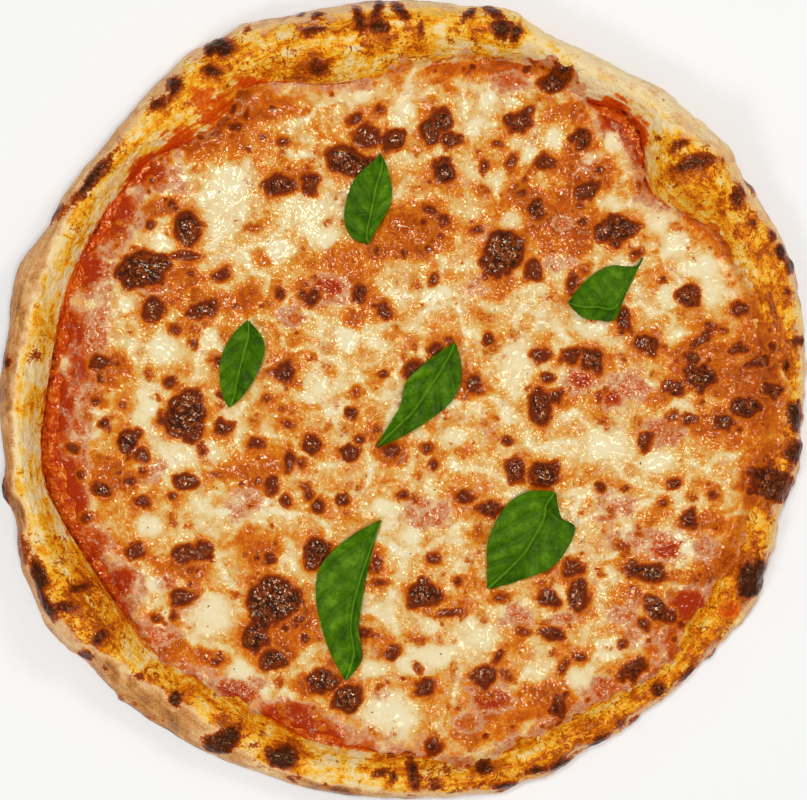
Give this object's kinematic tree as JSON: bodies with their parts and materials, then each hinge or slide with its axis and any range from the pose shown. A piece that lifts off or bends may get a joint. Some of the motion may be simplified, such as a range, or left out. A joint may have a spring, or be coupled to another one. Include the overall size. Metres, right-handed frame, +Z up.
{
  "type": "margherita pizza",
  "caption": "Whole round margherita pizza with a puffed scorched rim, tomato sauce, melted mozzarella with browned blisters, and fresh basil leaves on top.",
  "frame": {"origin": "middle of the pizza on the surface it rests on, under the centre of its overall box", "axes": "+Z up through the pizza, +X to the right and +Y away from a viewer who looks straight down on it"},
  "size_m": [0.3199, 0.3166, 0.023],
  "materials": {
    "baked_dough": "matte baked wheat dough with scorched spots",
    "tomato_sauce": "wet tomato sauce",
    "melted_cheese": "oily melted mozzarella with browned blisters",
    "basil": "satin fresh leaf"
  },
  "bodies": {
    "root": {"crust": "baked_dough", "tomato_sauce": "tomato_sauce", "cheese": "melted_cheese", "basil_leaf_1": "basil", "basil_leaf_2": "basil", "basil_leaf_3": "basil", "basil_leaf_4": "basil", "basil_leaf_5": "basil", "basil_leaf_6": "basil"}
  },
  "joints": []
}
